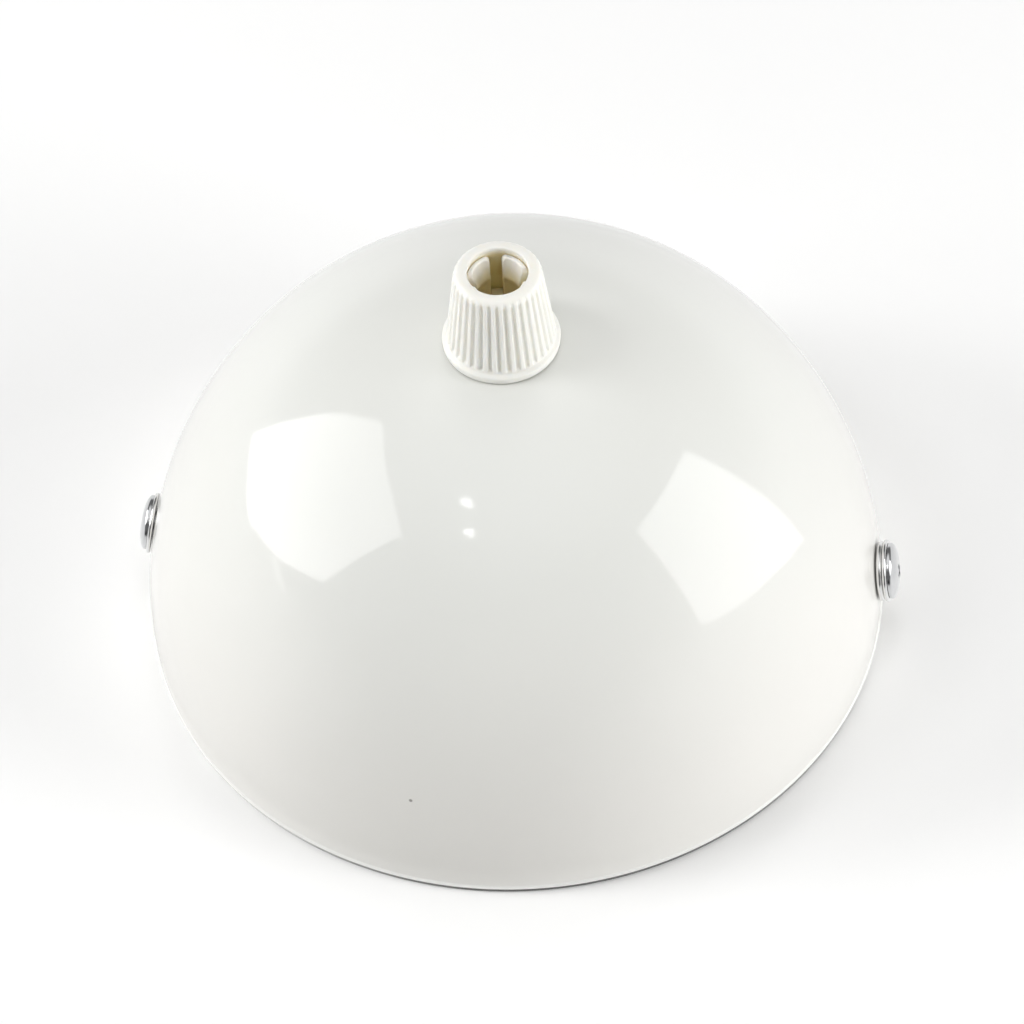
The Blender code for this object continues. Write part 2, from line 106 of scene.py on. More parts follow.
def lamp_card(name, corners, bright, dim, run):
    """A glowing card that shows in gloss only; it goes from bright to dim along the direction run."""
    mesh = bpy.data.meshes.new(name)
    mesh.from_pydata(corners, [], [tuple(range(len(corners)))])
    card = add(name, mesh)
    tree, light = glowing(name, mesh)
    spans = [at.dot(Vector(run)) for at in corners]
    way = vector(tree, "DOT_PRODUCT", own_place(tree), run)
    tree.links.new(spread(tree, way, min(spans), max(spans), bright, dim, soft=True), light.inputs["Strength"])
    only_in_gloss(card)


left_corners = [
    (-0.776, -0.007, 0.114),
    (-0.705, 0.320, 0.086),
    (-0.613, 0.252, 0.426),
    (-0.467, 0.136, 0.627),
    (-0.390, -0.326, 0.616),
    (-0.638, -0.342, 0.325),
]
right_corners = [(0.236, 0.066, 0.210), (0.180, 0.038, 0.010), (0.280, -0.134, 0.091), (0.207, -0.086, 0.240)]
stand_corners = [(-0.757, 0.010, 0.106), (-0.741, -0.033, 0.193), (-0.708, -0.257, 0.155), (-0.745, -0.143, 0.104)]
pole_corners = [(-0.731, -0.033, 0.191), (-0.726, -0.045, 0.209), (-0.696, -0.255, 0.165), (-0.703, -0.243, 0.150)]
for name, corners, bright, dim, run in (
    ("left_softbox", left_corners, 4.2, 2.7, (0.45, -0.15, 0.85)),
    ("right_softbox", right_corners, 3.2, 2.7, (-0.30, -0.95, 0.0)),
    ("left_softbox_stand", stand_corners, 0.6, 0.6, (0.0, 0.0, 1.0)),
    ("left_softbox_pole", pole_corners, 2.6, 2.6, (0.0, 0.0, 1.0)),
):
    lamp_card(name, [Vector(at) for at in corners], bright, dim, run)
for name, middle, wide, high in (
    ("upper_lamp", (-0.125, -0.217, 0.665), 0.054, 0.034),
    ("lower_lamp", (-0.110, -0.312, 0.629), 0.044, 0.031),
):
    middle = Vector(middle)
    facing = (MIRROR_CENTRE - middle).to_track_quat("Z", "Y").to_matrix()
    rim = [
        middle + facing @ Vector((wide * math.cos(t) / 2.0, high * math.sin(t) / 2.0, 0.0))
        for t in np.linspace(0.0, math.tau, 24, endpoint=False)
    ]
    lamp_card(name, rim, LAMP_GLOW, LAMP_GLOW, (1.0, 0.0, 0.0))


# The room as the enamel and the chrome see it: a bowl that is dark in front, bright low down at the sides and behind,
# and grey above with a paler ceiling, with a floor that starts at the dome's rim.
BOWL_RADIUS = 1.5
BOWL_FACETS = 64
BOWL_INNER = 0.0505
BOWL_LIFT = 0.0001


def axis(tree, value, letter):
    """One coordinate of a vector."""
    split = tree.nodes.new("ShaderNodeSeparateXYZ")
    tree.links.new(value, split.inputs[0])
    return split.outputs[letter]


def flattened(tree, value):
    """A vector without its height."""
    return vector(tree, "MULTIPLY", value, (1.0, 1.0, 0.0))


def mixed(tree, share, first, second):
    """A colour between two; each is a colour or a node's output. Sockets 6 and 7 of the node take its colours."""
    mix = tree.nodes.new("ShaderNodeMix")
    mix.data_type = "RGBA"
    tree.links.new(share, mix.inputs["Factor"])
    for socket, colour in ((mix.inputs[6], first), (mix.inputs[7], second)):
        if isinstance(colour, tuple):
            socket.default_value = (*colour, 1.0)
        else:
            tree.links.new(colour, socket)
    return mix.outputs[2]


bowl_rings = [(radius, BOWL_LIFT) for radius in (BOWL_INNER, 0.08, 0.2, BOWL_RADIUS)]
bowl_rings += [
    (BOWL_RADIUS * math.cos(t), BOWL_RADIUS * math.sin(t)) for t in np.linspace(0.1, math.pi / 2.0 - 0.01, 14)
]
bowl_turns = np.arange(BOWL_FACETS) * math.tau / BOWL_FACETS
bowl_points = [(r * math.cos(t), r * math.sin(t), z) for r, z in bowl_rings for t in bowl_turns]
bowl_faces = []
for k in range(len(bowl_rings) - 1):
    low = BOWL_FACETS * k
    high = low + BOWL_FACETS
    for i in range(BOWL_FACETS):
        j = (i + 1) % BOWL_FACETS
        bowl_faces.append((low + i, low + j, high + j, high + i))
bowl_mesh = bpy.data.meshes.new("room_bowl")
bowl_mesh.from_pydata(bowl_points, [], bowl_faces)
bowl = add("room_bowl", bowl_mesh)
tree, light = glowing("room_bowl", bowl_mesh)
place = own_place(tree)
flat = flattened(tree, place)
backward = axis(tree, vector(tree, "NORMALIZE", flat), "Y")
upward = axis(tree, vector(tree, "NORMALIZE", place), "Z")
low_down = tree.nodes.new("ShaderNodeValToRGB")
tree.links.new(spread(tree, backward, -1.0, 1.0), low_down.inputs["Fac"])
stops = low_down.color_ramp.elements
stops[0].color = (0.04, 0.04, 0.04, 1.0)
stops[1].color = (0.95, 0.95, 0.95, 1.0)
for position, value in ((0.07, 0.20), (0.20, 0.72), (0.46, 1.00), (0.70, 0.85)):
    stops.new(position).color = (value, value, value, 1.0)
colour = mixed(tree, spread(tree, upward, 0.02, 0.38, soft=True), low_down.outputs["Color"], (0.16, 0.16, 0.16))
colour = mixed(tree, spread(tree, upward, 0.70, 0.99, soft=True), colour, (0.95, 0.95, 0.95))
past_rim = spread(tree, vector(tree, "LENGTH", flat), BOWL_INNER, 0.0540, soft=True)
colour = mixed(tree, past_rim, (0.80, 0.80, 0.79), colour)
tree.links.new(colour, light.inputs["Color"])
only_in_gloss(bowl)


# The lighting. Square soft lights stand a metre away on all sides and overhead and leave no mirror image of their own.
# The backdrop that the camera sees is white, and hardly lights anything.
LIGHT_DISTANCE = 1.0


def toward(azimuth, elevation, distance):
    """A point at a distance from the canopy; azimuth 0 is the front, 90 the right side."""
    a = math.radians(azimuth)
    e = math.radians(elevation)
    return MIRROR_CENTRE + distance * Vector((math.sin(a) * math.cos(e), -math.cos(a) * math.cos(e), math.sin(e)))


def soft_light(name, azimuth, elevation, size, watts):
    """A square area light that lights the pieces and isn't mirrored in them."""
    lamp = bpy.data.lights.new(name, "AREA")
    lamp.shape = "SQUARE"
    lamp.size = size
    lamp.energy = watts
    holder = add(name, lamp)
    spot = toward(azimuth, elevation, LIGHT_DISTANCE)
    aim = (spot - MIRROR_CENTRE).to_track_quat("Z", "Y").to_matrix().to_4x4()
    holder.matrix_world = Matrix.Translation(spot) @ aim
    holder.visible_glossy = False
    holder.visible_camera = False


for name, azimuth, elevation, size, watts in (
    ("left_light", -85.0, 30.0, 0.70, 0.4),
    ("left_lamp", -85.0, 30.0, 0.25, 2.5),
    ("left_high_lamp", -80.0, 55.0, 0.25, 1.4),
    ("left_low_light", -95.0, 10.0, 0.50, 0.9),
    ("left_side_light", -75.0, 15.0, 0.40, 2.8),
    ("right_lamp", 88.0, 30.0, 0.25, 1.0),
    ("right_low_light", 95.0, 10.0, 0.50, 1.8),
    ("right_side_light", 75.0, 15.0, 0.40, 5.2),
    ("front_low_light", 0.0, 8.0, 0.60, 1.3),
    ("back_low_light", 180.0, 15.0, 0.70, 1.1),
    ("back_high_lamp", 180.0, 60.0, 0.25, 1.0),
    ("back_left_lamp", -135.0, 45.0, 0.25, 0.3),
    ("top_light", 0.0, 90.0, 0.90, 3.9),
):
    soft_light(name, azimuth, elevation, size, watts)

world = bpy.data.worlds.new("studio")
bpy.context.scene.world = world
world.use_nodes = True
air = world.node_tree
sky = air.nodes["Background"]
sky.inputs["Color"].default_value = (1.0, 1.0, 1.0, 1.0)
sky.inputs["Strength"].default_value = 0.03
backdrop = air.nodes.new("ShaderNodeBackground")
backdrop.inputs["Color"].default_value = (0.98, 0.98, 0.97, 1.0)
seen = air.nodes.new("ShaderNodeLightPath")
either = air.nodes.new("ShaderNodeMixShader")
air.links.new(seen.outputs["Is Camera Ray"], either.inputs[0])
air.links.new(sky.outputs[0], either.inputs[1])
air.links.new(backdrop.outputs[0], either.inputs[2])
air.links.new(either.outputs[0], air.nodes["World Output"].inputs["Surface"])


# The table and the camera. The table is a wide matt white sheet under the rim. The camera looks down on the dome from
# the front; its place, turn and lens were fitted to the outlines of the rim, the dome and the cap in the photograph.
TABLE_HALF = 3.0
LENS = 143.617
CAMERA_PLACE = (0.05413978, -0.33586605, 0.44433805)

table_mesh = bpy.data.meshes.new("table")
table_corners = [(x * TABLE_HALF, y * TABLE_HALF, 0.0) for x, y in ((-1, -1), (1, -1), (1, 1), (-1, 1))]
table_mesh.from_pydata(table_corners, [], [tuple(range(4))])
table = add("table", table_mesh)
table_top = bpy.data.materials.new("table_top")
table_top.use_nodes = True
table_shader = table_top.node_tree.nodes["Principled BSDF"]
table_shader.inputs["Base Color"].default_value = (0.95, 0.95, 0.945, 1.0)
table_shader.inputs["Roughness"].default_value = 0.7
table_shader.inputs["Specular IOR Level"].default_value = 0.2
table_mesh.materials.append(table_top)

camera = add("camera", bpy.data.cameras.new("camera"))
camera.data.sensor_width = 36.0
camera.data.lens = LENS
camera.data.clip_start = 0.05
aim = Matrix.Rotation(math.radians(9.157), 4, "Z")
aim = aim @ Matrix.Rotation(math.radians(38.47), 4, "X") @ Matrix.Rotation(math.radians(-3.45), 4, "Z")
camera.matrix_world = Matrix.Translation(CAMERA_PLACE) @ aim
bpy.context.scene.camera = camera
bpy.context.scene.view_settings.view_transform = "Standard"


# The dome. One round of 0.8 mm steel pressed to a half ball, its crown flattened to a seat for the cord grip, then
# punched, dipped and fired in white enamel. The enamel ran down to a bead over the rim. The bead carries a painted
# highlight, and the edge under it a painted contact shadow, dark in front and to the right.
RIM_RADIUS = 50.0 * MM
DOME_RISE = 52.0 * MM
SHEET = 0.8 * MM
SEAT_RADIUS = 8.0 * MM
STEM_HOLE = 5.2 * MM
SIDE_HOLE = 2.4 * MM
SIDE_SCREW_HEIGHT = 8.6 * MM
BEAD = 0.26 * MM
BEAD_HEIGHT = 0.78 * MM
BEAD_STEP = 0.26 * MM
BEAD_FADE = 7.0 * MM
EDGE_IN = 0.14 * MM
CROWN_BEND = 0.9 * MM
SPECK = (-0.00767, -0.04709, 0.01556)
SUPPORT = 1.6
SEAT_HEIGHT = DOME_RISE * math.sqrt(1.0 - (SEAT_RADIUS / RIM_RADIUS) ** 2)
CROWN_UNDERSIDE = SEAT_HEIGHT - SHEET


def corner(before, tip, after, reach, steps=4):
    """Points that round one corner of an outline, with a point of support on each side."""
    tip = Vector(tip)
    near = tip + (Vector(before) - tip).normalized() * reach
    far = tip + (Vector(after) - tip).normalized() * reach
    points = [tip + (near - tip) * SUPPORT]
    for i in range(steps + 1):
        t = i / steps
        points.append(near * (1.0 - t) ** 2 + tip * 2.0 * t * (1.0 - t) + far * t**2)
    points.append(tip + (far - tip) * SUPPORT)
    return [tuple(point) for point in points]


def new_piece(name, points, faces, crease=40.0):
    """A smooth shaded object from points and faces, with its faces turned outwards."""
    mesh = bpy.data.meshes.new(name)
    mesh.from_pydata(points, [], faces)
    form = bmesh.new()
    form.from_mesh(mesh)
    bmesh.ops.recalc_face_normals(form, faces=form.faces)
    form.to_mesh(mesh)
    form.free()
    mesh.shade_smooth()
    mesh.set_sharp_from_angle(angle=math.radians(crease))
    return add(name, mesh)


def turned(name, outline, facets, reach=None, crease=40.0):
    """Spins an (r, z) outline round Z. It is closed unless it starts and ends on the axis; reach can vary a radius."""
    angles = np.arange(facets) * math.tau / facets
    points = []
    rows = []
    for radius, height in outline:
        first = len(points)
        if radius < 1e-9:
            points.append((0.0, 0.0, height))
            rows.append([first] * facets)
            continue
        radii = reach(angles, radius, height) if reach else np.full(facets, radius)
        points += zip(radii * np.cos(angles), radii * np.sin(angles), np.full(facets, height))
        rows.append(range(first, first + facets))
    pairs = list(zip(rows, rows[1:]))
    if outline[0][0] > 1e-9:
        pairs.append((rows[-1], rows[0]))
    faces = []
    for low, high in pairs:
        for i in range(facets):
            j = (i + 1) % facets
            faces.append(tuple(dict.fromkeys((low[i], low[j], high[j], high[i]))))
    return new_piece(name, points, faces, crease)


def cut(piece, *cutters):
    """Takes the cutters out of a piece for good."""
    for cutter in cutters:
        saw = piece.modifiers.new(cutter.name, "BOOLEAN")
        saw.object = cutter
        saw.solver = "EXACT"
    settle(piece)
    for cutter in cutters:
        bpy.data.objects.remove(cutter)


def settle(piece, crease=40.0):
    """Makes a piece's modifiers part of its mesh."""
    scene = bpy.context.evaluated_depsgraph_get()
    mesh = bpy.data.meshes.new_from_object(piece.evaluated_get(scene))
    piece.modifiers.clear()
    piece.data = mesh
    mesh.shade_smooth()
    mesh.set_sharp_from_angle(angle=math.radians(crease))


def bar(name, radius, bottom, top, place=Matrix()):
    """A plain round bar, to cut with or to weld on."""
    rod = turned(name, [(0.0, top), (radius, top), (radius, bottom), (0.0, bottom)], 64)
    rod.data.transform(place)
    return rod


def dress(piece, finish, body, slot, *nodes):
    """Gives a piece its finish and its body, and puts it in place of the solids it stands for."""
    piece.data.materials.clear()
    piece.data.materials.append(finish)
    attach(piece, body)
    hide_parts(*nodes)


def new_finish(name, **even):
    """A Principled material; values that are the same all over go straight on its sockets."""
    finish = bpy.data.materials.new(name)
    finish.use_nodes = True
    shader = finish.node_tree.nodes["Principled BSDF"]
    for socket, value in even.items():
        shader.inputs[socket.replace("_", " ")].default_value = value
    return finish, finish.node_tree, shader


def cloud(tree, scale, low, high, detail=3.0, stretch=(1.0, 1.0, 1.0)):
    """Soft noise on the piece itself, from low to high; most of the noise lies between 0.3 and 0.7."""
    squeeze = tree.nodes.new("ShaderNodeMapping")
    squeeze.inputs["Scale"].default_value = stretch
    noise = tree.nodes.new("ShaderNodeTexNoise")
    noise.inputs["Scale"].default_value = scale
    noise.inputs["Detail"].default_value = detail
    tree.links.new(own_place(tree), squeeze.inputs["Vector"])
    tree.links.new(squeeze.outputs["Vector"], noise.inputs["Vector"])
    return spread(tree, noise.outputs["Fac"], 0.3, 0.7, low, high)


def near_point(tree, point, inner, outer):
    """1 inside a small ball round a fixed point of the piece, 0 outside it."""
    return spread(tree, vector(tree, "DISTANCE", own_place(tree), point), outer, inner)


def below(tree, full, none):
    """1 under the height full, 0 over the height none."""
    return spread(tree, axis(tree, own_place(tree), "Z"), none, full)


def along(tree, run, none, full):
    """0 to 1 as the piece goes along a direction."""
    return spread(tree, vector(tree, "DOT_PRODUCT", own_place(tree), run), none, full, soft=True)


def near_axis(tree, full, none):
    """1 nearer to the Z axis than full, 0 further out than none."""
    return spread(tree, vector(tree, "LENGTH", flattened(tree, own_place(tree))), none, full)


def both(tree, first, second):
    """The product of two shares."""
    product = tree.nodes.new("ShaderNodeMath")
    product.operation = "MULTIPLY"
    tree.links.new(first, product.inputs[0])
    tree.links.new(second, product.inputs[1])
    return product.outputs[0]


def blended(tree, share, first, last):
    """Goes from a node's output to a fixed number as the share goes from 0 to 1; sockets 2 and 3 take the numbers."""
    mix = tree.nodes.new("ShaderNodeMix")
    mix.inputs[3].default_value = last
    tree.links.new(share, mix.inputs["Factor"])
    tree.links.new(first, mix.inputs[2])
    return mix.outputs[0]


def relief(tree, shader, height, distance):
    """Bumps the surface by a height; several are stacked."""
    bump = tree.nodes.new("ShaderNodeBump")
    bump.inputs["Distance"].default_value = distance
    bump.inputs["Strength"].default_value = 1.0
    tree.links.new(height, bump.inputs["Height"])
    under = shader.inputs["Normal"]
    if under.is_linked:
        tree.links.new(under.links[0].from_socket, bump.inputs["Normal"])
    tree.links.new(bump.outputs["Normal"], under)


def side_frame(side):
    """Frame on the dome's outer wall at a side screw: +Z square to the wall, X along it."""
    lift = math.asin(SIDE_SCREW_HEIGHT / DOME_RISE)
    radius = RIM_RADIUS * math.cos(lift)
    out = Vector((side * radius / RIM_RADIUS**2, 0.0, SIDE_SCREW_HEIGHT / DOME_RISE**2)).normalized()
    across = Vector((0.0, 1.0, 0.0))
    place = Matrix((across.cross(out), across, out)).transposed().to_4x4()
    place.translation = (side * radius, 0.0, SIDE_SCREW_HEIGHT)
    return place


crown = math.acos(SEAT_RADIUS / RIM_RADIUS)
inner_radius = RIM_RADIUS - SHEET
inner_rise = DOME_RISE - SHEET
inner_crown = math.asin(CROWN_UNDERSIDE / inner_rise)
wall_out = []
for t in np.linspace(0.0, crown, 97):
    drawn_in = BEAD_STEP * max(0.0, 1.0 - DOME_RISE * math.sin(t) / BEAD_FADE) ** 2
    wall_out.append((RIM_RADIUS * math.cos(t) - drawn_in, DOME_RISE * math.sin(t)))
wall_in = [
    (inner_radius * math.cos(t), inner_rise * math.sin(t)) for t in np.linspace(inner_crown, 0.0, 65)
]
hole_top = (STEM_HOLE, SEAT_HEIGHT)
hole_foot = (STEM_HOLE, CROWN_UNDERSIDE)
edge_foot = (RIM_RADIUS - EDGE_IN, 0.0)
outline = corner(wall_in[-2], wall_in[-1], edge_foot, 0.14 * MM)
outline += corner(wall_in[-1], edge_foot, (edge_foot[0], BEAD_HEIGHT), 0.10 * MM)
outline += [
    (RIM_RADIUS + BEAD * (math.cos(t) - 1.0), BEAD_HEIGHT + BEAD * math.sin(t)) for t in np.linspace(-1.1, 1.0, 11)
]
# Above the bead the wall goes back to the ball in a shallow hollow.
outline += [(RIM_RADIUS - 0.166 * MM, 1.08 * MM), (RIM_RADIUS - 0.188 * MM, 1.20 * MM)]
outline += wall_out[2:-2]
outline += corner(wall_out[-3], wall_out[-1], hole_top, CROWN_BEND, 8)
outline += corner(wall_out[-1], hole_top, hole_foot, 0.16 * MM)
outline += corner(hole_top, hole_foot, wall_in[0], 0.12 * MM)
outline += corner(hole_foot, wall_in[0], wall_in[2], 0.7 * MM, 6)
outline += wall_in[2:-2]
shell = turned("enamelled_dome", outline, 256)
drills = [bar(f"drill_{side}", SIDE_HOLE, -2.0 * MM, 1.0 * MM, side_frame(side)) for side in (-1, 1)]
bpy.context.view_layer.update()
cut(shell, *drills)

enamel, tree, shader = new_finish("white_enamel_glaze", IOR=1.52, Specular_IOR_Level=0.5)
pooled = cloud(tree, 22.0, 0.0, 1.0, 2.0)
white = mixed(tree, pooled, (0.762, 0.771, 0.738), (0.780, 0.784, 0.748))
creamy = mixed(tree, pooled, (0.764, 0.755, 0.722), (0.780, 0.769, 0.736))
white = mixed(tree, below(tree, 14.0 * MM, 42.0 * MM), white, creamy)
# Painted highlight: the bead and the edge under it are a brighter white, for the catch-light along the rim.
white = mixed(tree, below(tree, BEAD_HEIGHT + 0.3 * MM, BEAD_HEIGHT + 0.6 * MM), white, (0.88, 0.88, 0.855))
# One dark speck is fired into the glaze, low down in front.
speck = near_point(tree, SPECK, 0.15 * MM, 0.30 * MM)
white = mixed(tree, speck, white, (0.30, 0.29, 0.27))
# Painted contact shadow: the edge under the bead is painted dark and rough, in front and to the right.
painted_rim_shadow = both(tree, below(tree, 0.50 * MM, 0.60 * MM), along(tree, (8.0, -18.3, 0.0), 0.2, 1.0))
tree.links.new(mixed(tree, painted_rim_shadow, white, (0.13, 0.13, 0.125)), shader.inputs["Base Color"])
gloss = cloud(tree, 160.0, 0.055, 0.085)
tree.links.new(blended(tree, painted_rim_shadow, gloss, 0.55), shader.inputs["Roughness"])
relief(tree, shader, cloud(tree, 55.0, 0.0, 1.0, 1.0), 0.00006)
relief(tree, shader, cloud(tree, 900.0, 0.0, 1.0, 1.0), 0.000002)
dress(shell, enamel, "canopy", "white_enamel", "canopy_shell")


# The cord grip's cap. One moulding of ivory polyamide: a cone with 36 finger ribs between a smooth foot band and a
# rounded mouth, screwed down on the stem until its inner cone squeezes the stem's fingers on the cord.
CAP_BASE = SEAT_HEIGHT + 0.2 * MM
CAP_TOP = CAP_BASE + 13.0 * MM
FOOT_BAND = 7.58 * MM
FOOT_BAND_HEIGHT = 1.3 * MM
CONE_FOOT = 7.0 * MM
CONE_TOP = 5.7 * MM
MOUTH = 3.85 * MM
MOUTH_ROUND = 1.2 * MM
MOUTH_LAND = 0.6 * MM
LEDGE_DROP = 0.35 * MM
RIBS = 36
RIB_POINTS = 16
RIB_DEPTH = 0.34 * MM
CAP_THREAD = 5.15 * MM
CAP_THREAD_TOP = CAP_BASE + 6.6 * MM
GROOVE = 0.66
GROOVE_FLANK = 0.42
RIB_HEAD = 1.1 * MM
RIB_HEAD_FADE = 1.5 * MM
RIB_FOOT = 0.12 * MM
RIB_FOOT_FADE = 0.35 * MM

band_top = CAP_BASE + FOOT_BAND_HEIGHT
shoulder = CAP_TOP - MOUTH_ROUND
cone_slope = (CONE_TOP - CONE_FOOT) / (shoulder - band_top)


def cone_radius(height):
    """Radius of the cone's ridges."""
    return CONE_FOOT + cone_slope * (height - band_top)


def smooth(x):
    """0 to 1 with a soft start and end."""
    x = np.clip(x, 0.0, 1.0)
    return x * x * (3.0 - 2.0 * x)


foot_bore = (CAP_THREAD, CAP_BASE)
thread_top = (CAP_THREAD, CAP_THREAD_TOP)
band_low = (FOOT_BAND - 0.1 * MM, CAP_BASE)
band_high = (FOOT_BAND, band_top - LEDGE_DROP)
band_in = (cone_radius(band_top), band_top)
outline = corner(foot_bore, band_low, band_high, 0.18 * MM)
outline += corner(band_low, band_high, band_in, 0.26 * MM, 6)
outline += corner(band_high, band_in, (cone_radius(shoulder), shoulder), 0.16 * MM, 4)
outline += [(cone_radius(z), z) for z in np.linspace(band_top + 0.36 * MM, shoulder - 0.1 * MM, 40)]
outline += [
    (cone_radius(shoulder) - MOUTH_ROUND * (1.0 - math.cos(t)), shoulder + MOUTH_ROUND * math.sin(t))
    for t in np.linspace(0.0, math.pi / 2.0, 10)
]
mouth_lip = (MOUTH, CAP_TOP)
land = (MOUTH, CAP_TOP - MOUTH_LAND)
outline += corner(outline[-1], mouth_lip, land, 0.30 * MM, 6)
outline += corner(mouth_lip, land, thread_top, 0.06 * MM, 2)
outline += corner(land, thread_top, foot_bore, 0.2 * MM, 3)
outline += corner(thread_top, foot_bore, band_low, 0.2 * MM, 3)


def ribbed(angles, radius, height):
    """Lets the grooves into the cone; they run out at the mouth and end round above the foot band."""
    on_cone = abs(radius - cone_radius(height)) < 0.05 * MM
    on_round = height > shoulder and radius > CONE_TOP - MOUTH_ROUND
    if not (on_cone or on_round):
        return np.full(len(angles), radius)
    pitch = np.abs((angles * RIBS / math.tau) % 1.0 - 0.5) * 2.0
    across = smooth((GROOVE - pitch) / GROOVE_FLANK)
    foot = smooth((height - band_top - RIB_FOOT) / RIB_FOOT_FADE)
    head = smooth((shoulder + RIB_HEAD - height) / RIB_HEAD_FADE)
    return radius - RIB_DEPTH * across * foot * head


cap = turned("ribbed_grip_cap", outline, RIBS * RIB_POINTS, ribbed, 60.0)
ivory, tree, shader = new_finish(
    "ivory_polyamide", IOR=1.53, Subsurface_Weight=0.5, Subsurface_Scale=0.0012, Subsurface_Radius=(1.0, 0.90, 0.75)
)
tint = cloud(tree, 190.0, 0.0, 1.0)
skin = mixed(tree, tint, (0.850, 0.842, 0.792), (0.868, 0.862, 0.815))
# Painted bounce light and shade: inside the mouth the ivory is painted the warm ochre of light glowing through it.
painted_mouth_bounce_light = both(tree, below(tree, CAP_TOP - 1.5 * MM, CAP_TOP - 0.4 * MM), near_axis(tree, 5.16 * MM, 5.26 * MM))
tree.links.new(mixed(tree, painted_mouth_bounce_light, skin, (0.97, 0.86, 0.58)), shader.inputs["Base Color"])
tree.links.new(cloud(tree, 700.0, 0.30, 0.42), shader.inputs["Roughness"])
relief(tree, shader, cloud(tree, 2600.0, 0.0, 1.0), 0.000008)
dress(cap, ivory, "cap", "ivory_plastic", "grip_cap")


# The cord grip's stem. An ivory M10 tube, open from end to end, whose top is slit into four fingers; the thread runs
# down through the crown. The fingers' tips are rounded, and their inner faces narrow downward; both show in the mouth.
STEM_RADIUS = 4.9 * MM
STEM_BORE = 3.5 * MM
WASHER_THICKNESS = 1.0 * MM
NUT_HEIGHT = 3.0 * MM
PLAY = 0.2 * MM
TAIL = 1.4 * MM
STEM_FOOT = CROWN_UNDERSIDE - PLAY - WASHER_THICKNESS - PLAY - NUT_HEIGHT - TAIL
STEM_PITCH = 1.0 * MM
STEM_THREAD = 0.55 * MM
THREAD_CREST = 0.12
THREAD_FLANK = 0.76
SLOT_FLOOR = CAP_BASE + 4.6 * MM
FINGER_ROOT = CAP_BASE + 7.0 * MM
FINGER_RELIEF = FINGER_ROOT + 2.2 * MM
FINGER_RELIEF_FADE = 2.4 * MM
FINGER_TOP = CAP_TOP - 1.0 * MM
FINGER_TIP_BORE = 3.3 * MM
FINGER_THROAT = 2.6 * MM
THROAT_DEPTH = 3.4 * MM
TIP_CORNER = 0.9 * MM
FINGER_BACK_GAP = 0.09 * MM
FINGER_BACK_INSET = 0.45 * MM
FINGER_EDGE = 0.22 * MM
FINGER_TIP = 0.22 * MM
SLOT_WIDTH = 1.55 * MM
SLOT_TURN = math.radians(12.0)


def thread(pitch, depth, bottom, top):
    """A screw thread on the rows between two heights, with rounded crests and roots and a faded start and end."""

    def reach(angles, radius, height):
        share = min(height - bottom, top - height) / (0.5 * pitch)
        if share <= 0.0:
            return np.full(len(angles), radius)
        turn = (height / pitch - angles / math.tau) % 1.0
        groove = smooth((np.abs(turn - 0.5) * 2.0 - THREAD_CREST) / THREAD_FLANK)
        return radius - depth * groove * min(share, 1.0)

    return reach


def climb(radius, bottom, top, step):
    """Points up a straight wall, close enough for a thread."""
    return [(radius, z) for z in np.linspace(bottom, top, max(2, round((top - bottom) / step) + 1))]


def inner_cone(height):
    """Radius of the cap's inner cone, which the fingers' backs follow."""
    share = (height - CAP_THREAD_TOP) / (CAP_TOP - 0.5 * MM - CAP_THREAD_TOP)
    return CAP_THREAD + share * (MOUTH - CAP_THREAD)


tube_foot = [(STEM_BORE, STEM_FOOT), (STEM_RADIUS, STEM_FOOT)]
tube_top = [(STEM_RADIUS, SLOT_FLOOR), (STEM_BORE, SLOT_FLOOR)]
outline = corner(tube_top[1], tube_foot[0], tube_foot[1], 0.25 * MM)
outline += corner(tube_foot[0], tube_foot[1], tube_top[0], 0.4 * MM, 3)
outline += climb(STEM_RADIUS, STEM_FOOT + 0.65 * MM, SLOT_FLOOR - 0.3 * MM, STEM_PITCH / 12.0)
outline += corner(tube_foot[1], tube_top[0], tube_top[1], 0.12 * MM, 2)
outline += corner(tube_top[0], tube_top[1], tube_foot[0], 0.12 * MM, 2)
stem_thread = thread(STEM_PITCH, STEM_THREAD, STEM_FOOT + 0.6 * MM, SLOT_FLOOR + 0.5 * MM)
stem = turned("slit_grip_stem", outline, 96, stem_thread, 50.0)


def eased(outline, reaches):
    """A closed outline with its corners rounded, each by its own reach; a reach of 0 leaves a point as it is."""
    points = []
    for i, reach in enumerate(reaches):
        if reach == 0.0:
            points.append(tuple(outline[i]))
        else:
            points += corner(outline[i - 1], outline[i], outline[(i + 1) % len(outline)], reach)
    return points


def finger_section(inner, outer, half_slot, ease, middle):
    """One finger's cross section, seen from above, between two slots."""
    points = []
    for radius, sweep in ((outer, 1.0), (inner, -1.0)):
        half = math.pi / 4.0 - math.asin(half_slot / radius)
        for t in np.linspace(-half, half, 7):
            points.append((radius * math.cos(middle + sweep * t), radius * math.sin(middle + sweep * t)))
    reaches = [ease if i in (0, 6, 7, 13) else 0.0 for i in range(14)]
    return eased(points, reaches)


